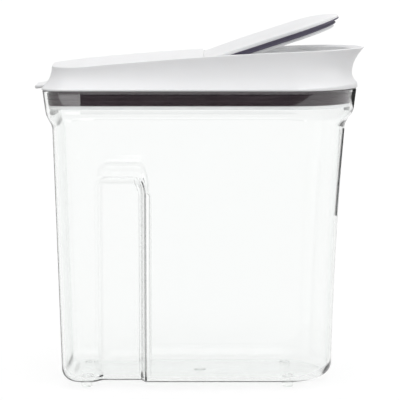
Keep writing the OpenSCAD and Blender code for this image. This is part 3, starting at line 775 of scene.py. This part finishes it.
def makeLidSeal():
    # a band with rounded ribs that reach towards the leaning collar
    o, t = inner["plugOut"], inner["sealThick"]
    rib = inner["sealHeight"] / inner["ribs"] * 0.5
    pitch = (inner["sealHeight"] - rib) / (inner["ribs"] - 1)
    corners = [(o, sealLow + inner["sealHeight"]), (o, sealLow)]
    for i in range(inner["ribs"]):
        z = sealLow + i * pitch
        reach = tub["lean"] * (rimZ - z) / tub["collar"] + inner["gap"]
        if i:
            corners.append((o - t, z))
        corners += [(reach, z), (reach, z + rib)]
        if i < inner["ribs"] - 1:
            corners.append((o - t, z + rib))
    return [band(corners, plugLoop, 0.4)]


makePiece("lidSeal", makeLidSeal(), lidSealRubber, "lid", ["lid_seal"])


def flipTop(u, y):
    # Height of the flip cover over the hinge axis: an edge that thins over the nose (r from 0
    # to 1), plus crown (1 - (y / half)^2 - r^4).
    r = np.maximum(0, (u - flipTip + flipNose) / flipNose)
    crown = mix(lid["crown"], flip["crown"], smooth((u + flip["back"]) / flip["crownRise"]))
    crown = crown * flip["crownShare"]
    edge = mix(flip["edge"], flip["tipEdge"], smooth(r))
    return flip["sealRise"] + edge + crown * np.maximum(0, 1 - (y / flipHalf) ** 2 - r ** 4)


def coverLoop(inset):
    # outline of the flip cover
    return wholeLoop(halfOutline(flip["back"] - inset, flipTip - inset, flipHalf - inset,
                                 max(0.5, flip["corner"] - inset), flipNose - inset))


def makeCover():
    # A crowned dish: top drawn in to its spine, rounded edge, flat rim, hollow ceiling.
    steps = [0, 0.15, 0.3, 0.45, 0.6, 0.72, 0.82, 0.9, 0.96, 1]
    e = flip["round"]
    spine = (flip["spineBack"], flipTip - flip["spineNose"])
    rings = crownRings(coverLoop(e), spine, flipTop, steps)
    for a in np.linspace(0, math.pi / 2, 6)[1:]:
        flat = coverLoop(e * (1 - math.sin(a)))
        rings.append(raised(flat, flipTop(flat[:, 0], flat[:, 1]) - e * (1 - math.cos(a))))
    low = flip["sealRise"]
    rings += [raised(coverLoop(0), low + 0.25), raised(coverLoop(0.1), low + 0.06),
              raised(coverLoop(0.3), low), raised(coverLoop(flip["rim"] - 0.2), low),
              raised(coverLoop(flip["rim"]), low + 0.2)]
    under = lambda x, y: flipTop(x, y) - flip["wall"]
    rings += crownRings(coverLoop(flip["rim"]), spine, under, steps[::-1])
    grids = [sleeve([openRing(r) for r in rings])]
    turn = np.linspace(0, 2 * math.pi, 48, endpoint=False)
    t, r = flip["earThick"], flip["earRadius"]
    for side in (-1, 1):
        y1, y0 = flipHalf - 0.2, flipHalf - 0.2 - t
        x = np.clip(r * 1.4142 * np.cos(turn), -r, r)
        z = np.clip(r * 1.4142 * np.sin(turn), -r, flip["sealRise"] + 1)
        up = np.sin(turn) > 0
        x = np.where(up, x, r * np.cos(turn))
        z = np.where(up, np.clip(6 * np.sin(turn), 0, flip["sealRise"] + 1), r * np.sin(turn))
        bore = flip["pin"] / 2
        loops = [(bore * np.cos(turn), bore * np.sin(turn), y1), (x, z, y1), (x, z, y0),
                 (bore * np.cos(turn), bore * np.sin(turn), y0)]
        rings = [openRing(np.column_stack([a, np.full(48, side * y), b])) for a, b, y in loops]
        grids.append(tube(roundCorners(rings, [0, 0.3, 0.3, 0], 2)))
    return grids


makePiece("flipCover", makeCover(), lidWhite, "flip", ["flip_cover"])


def makeFlipSeal():
    # a band with two soft fins, one under the cover and one at the ledge
    top = flip["sealRise"]
    low = top - flip["sealThick"]
    f = flip["finThick"]
    corners = [(flip["sealBore"], top), (flip["sealFin"], top), (flip["sealFin"], top - f),
               (flip["sealIn"], top - f), (flip["sealIn"], low + f), (flip["lowFin"], low + f),
               (flip["lowFin"], low), (flip["sealBore"], low)]
    # only the upper fin, corners 1 and 2, reaches out to the full tip
    upper = lambda k: mouthLoop(corners[k][0], 0 if k in (1, 2) else None)
    return [band([(k, z) for k, (inset, z) in enumerate(corners)], upper, 0.3, openRing)]


makePiece("flipSeal", makeFlipSeal(), flipSealRubber, "flip", ["flip_seal"])


def makePlate():
    # a flat plate with a rounded edge, and posts up to the cover
    top = flip["sealRise"] - flip["sealThick"]
    low = top - flip["plateThick"]
    e = flip["plateRound"]
    spine = (flip["plateSpine"], flipTip - flip["spineNose"])
    level = lambda h: (lambda x, y: np.full_like(x, h))
    rings = crownRings(mouthLoop(flip["plateIn"] + e), spine, level(top), [0, 0.5, 0.97, 1])
    for a in np.linspace(0, math.pi / 2, 5)[1:]:
        flat = mouthLoop(flip["plateIn"] + e * (1 - math.sin(a)))
        rings.append(raised(flat, top - e * (1 - math.cos(a))))
    for a in np.linspace(math.pi / 2, math.pi, 5):
        flat = mouthLoop(flip["plateIn"] + e * (1 - math.sin(a)))
        rings.append(raised(flat, low + e * (1 + math.cos(a))))
    rings += crownRings(mouthLoop(flip["plateIn"] + e), spine, level(low), [1, 0.97, 0.5, 0])
    grids = [sleeve([openRing(r) for r in rings])]
    turn = np.linspace(0, 2 * math.pi, 24, endpoint=False)
    r = flip["post"] / 2
    for u in flip["postAlong"]:
        for v in flip["postAcross"]:
            x, y = u * flipTip, v * flipHalf
            up = float(flipTop(np.array([x]), np.array([abs(y) + r]))[0]) - flip["wall"] - 0.2
            profile = [(0, top - 0.5), (r, top - 0.5), (r, top), (r - 0.1, up - 0.3),
                       (r - 0.4, up), (0, up)]
            rings = [np.column_stack([x + q * np.cos(turn), y + q * np.sin(turn), np.full(24, z)])
                     for q, z in profile]
            grids.append(sleeve([openRing(r) for r in rings]))
    return grids


makePiece("flipPlate", makePlate(), innerWhite, "flip", ["flip_plate"])

# The two pins stay as the CAD made them, in their own plastic
for name in ("hinge_pin_near", "hinge_pin_far"):
    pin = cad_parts[name]
    pin.data.materials.clear()
    pin.data.materials.append(pinPlastic)
print("pieces made")

# Floor, lights, panels and camera.
studio = {
    "floorSize": 30, "floorColor": 0.35, "floorLift": 0.7, "worldLight": 0.4, "panelColor": 0.03,
    "topLight": 1.5, "topSpread": 70, "topAim": (0.0, 0.2, -1.0),
    "frontLight": 0.62, "frontSpread": 50, "frontAim": (-0.35, 1.0, -0.3),
    "sideLight": 0.9, "sideSpread": 50, "sideAim": (-1.0, 0.2, -0.1),
    "camera": (0, -1.6, 0.34016), "pitch": 7.174, "lens": 189.47,
}
# Upright panels that only mirrors and clear plastic see: left and right ends, place along Y
# and heights in metres, and how bright they are. The mirrored ones, before the collar, keep
# its gloss off the seal and show in reflections only; the ones behind its ends draw its edges.
panels = {
    "darkPanel": {"x": (-0.092, 0.135), "y": -0.115, "z": (0.1935, 0.2075),
                  "glow": 0.0, "mirrored": True},
    "brightPanel": {"x": (-0.14, -0.092), "y": -0.115, "z": (0.1935, 0.2075),
                    "glow": 2.6, "mirrored": True},
    "nosePanel": {"x": (0.1195, 0.175), "y": 0.05, "z": (0.2035, 0.2195),
                  "glow": 0.0, "mirrored": False},
    "frontPanel": {"x": (0.1108, 0.118), "y": 0.006, "z": (0.125, 0.193),
                   "glow": 0.0, "mirrored": False},
    "rearPanel": {"x": (-0.16, -0.1175), "y": 0.06, "z": (0.2, 0.2195),
                  "glow": 0.0, "mirrored": False},
}


def makeFloor():
    # a wide pale floor, lifted to white for the camera, mirrors and clear plastic
    mesh = bpy.data.meshes.new("floor")
    s = studio["floorSize"]
    mesh.from_pydata([(-s, -s, 0), (s, -s, 0), (s, s, 0), (-s, s, 0)], [], [(0, 1, 2, 3)])
    floor = bpy.data.objects.new("floor", mesh)
    bpy.context.scene.collection.objects.link(floor)
    material, tree, shader, place, out = newMaterial("paleFloor")
    shader.inputs["Base Color"].default_value = (*[studio["floorColor"]] * 3, 1)
    shader.inputs["Roughness"].default_value = 0.9
    shader.inputs["Specular IOR Level"].default_value = 0.0
    seen = seenRays(tree)
    lift = tree.nodes.new("ShaderNodeMath")
    lift.operation = "MULTIPLY"
    lift.inputs[1].default_value = studio["floorLift"]
    tree.links.new(seen, lift.inputs[0])
    tree.links.new(lift.outputs[0], shader.inputs["Emission Strength"])
    shader.inputs["Emission Color"].default_value = (1, 1, 1, 1)
    mesh.materials.append(material)


def seenRays(tree):
    # 1 for rays from the camera, mirrors and clear plastic, 0 for light on the object
    path = tree.nodes.new("ShaderNodeLightPath")
    first = tree.nodes.new("ShaderNodeMath")
    first.operation = "MAXIMUM"
    second = tree.nodes.new("ShaderNodeMath")
    second.operation = "MAXIMUM"
    tree.links.new(path.outputs["Is Camera Ray"], first.inputs[0])
    tree.links.new(path.outputs["Is Glossy Ray"], first.inputs[1])
    tree.links.new(first.outputs[0], second.inputs[0])
    tree.links.new(path.outputs["Is Transmission Ray"], second.inputs[1])
    return second.outputs[0]


def makeWorld():
    # white where it is seen, and a softer white as light
    world = bpy.data.worlds.new("studio")
    bpy.context.scene.world = world
    world.use_nodes = True
    tree = world.node_tree
    tree.nodes.clear()
    out = tree.nodes.new("ShaderNodeOutputWorld")
    back = tree.nodes.new("ShaderNodeBackground")
    level = tree.nodes.new("ShaderNodeMapRange")
    level.inputs["To Min"].default_value = studio["worldLight"]
    level.inputs["To Max"].default_value = 1.0
    tree.links.new(seenRays(tree), level.inputs["Value"])
    tree.links.new(level.outputs["Result"], back.inputs["Strength"])
    back.inputs["Color"].default_value = (1, 1, 1, 1)
    tree.links.new(back.outputs["Background"], out.inputs["Surface"])


def addLamp(name, aim, spread, power):
    # a broad soft light from far away, shining along aim and spread over an angle in degrees
    lamp = bpy.data.lights.new(name, "SUN")
    lamp.angle = math.radians(spread)
    lamp.energy = power
    holder = bpy.data.objects.new(name, lamp)
    bpy.context.scene.collection.objects.link(holder)
    holder.location = (0, 0, 2)
    holder.rotation_euler = mathutils.Vector(aim).to_track_quat("-Z", "Y").to_euler()


def makePanel(name, look):
    # one upright rectangle; a mirrored one is bare air to rays that nothing has reflected yet
    (x0, x1), y, (z0, z1) = look["x"], look["y"], look["z"]
    mesh = bpy.data.meshes.new(name)
    mesh.from_pydata([(x0, y, z0), (x1, y, z0), (x1, y, z1), (x0, y, z1)], [], [(0, 1, 2, 3)])
    panel = bpy.data.objects.new(name, mesh)
    bpy.context.scene.collection.objects.link(panel)
    material, tree, shader, place, out = newMaterial(name)
    shader.inputs["Base Color"].default_value = (*[studio["panelColor"]] * 3, 1)
    shader.inputs["Roughness"].default_value = 1.0
    shader.inputs["Emission Color"].default_value = (1, 1, 1, 1)
    shader.inputs["Emission Strength"].default_value = look["glow"]
    if look["mirrored"]:
        path = tree.nodes.new("ShaderNodeLightPath")
        bare = tree.nodes.new("ShaderNodeBsdfTransparent")
        choice = tree.nodes.new("ShaderNodeMixShader")
        tree.links.new(path.outputs["Glossy Depth"], choice.inputs["Fac"])
        tree.links.new(bare.outputs["BSDF"], choice.inputs[1])
        tree.links.new(shader.outputs["BSDF"], choice.inputs[2])
        tree.links.new(choice.outputs["Shader"], out.inputs["Surface"])
    mesh.materials.append(material)
    panel.visible_camera = False
    panel.visible_diffuse = False
    panel.visible_shadow = False


def makeCamera():
    # level camera in front of the near side, looking slightly down
    lens = bpy.data.cameras.new("camera")
    lens.lens = studio["lens"]
    lens.sensor_width = 36
    lens.sensor_fit = "HORIZONTAL"
    lens.clip_end = 100
    camera = bpy.data.objects.new("camera", lens)
    bpy.context.scene.collection.objects.link(camera)
    camera.location = studio["camera"]
    camera.rotation_euler = (math.radians(90 - studio["pitch"]), 0, 0)
    bpy.context.scene.camera = camera


makeFloor()
makeWorld()
addLamp("topBox", studio["topAim"], studio["topSpread"], studio["topLight"])
addLamp("frontBox", studio["frontAim"], studio["frontSpread"], studio["frontLight"])
addLamp("sideBox", studio["sideAim"], studio["sideSpread"], studio["sideLight"])
for name, look in panels.items():
    makePanel(name, look)
makeCamera()
bpy.context.scene.view_settings.view_transform = "Standard"
print("studio made")
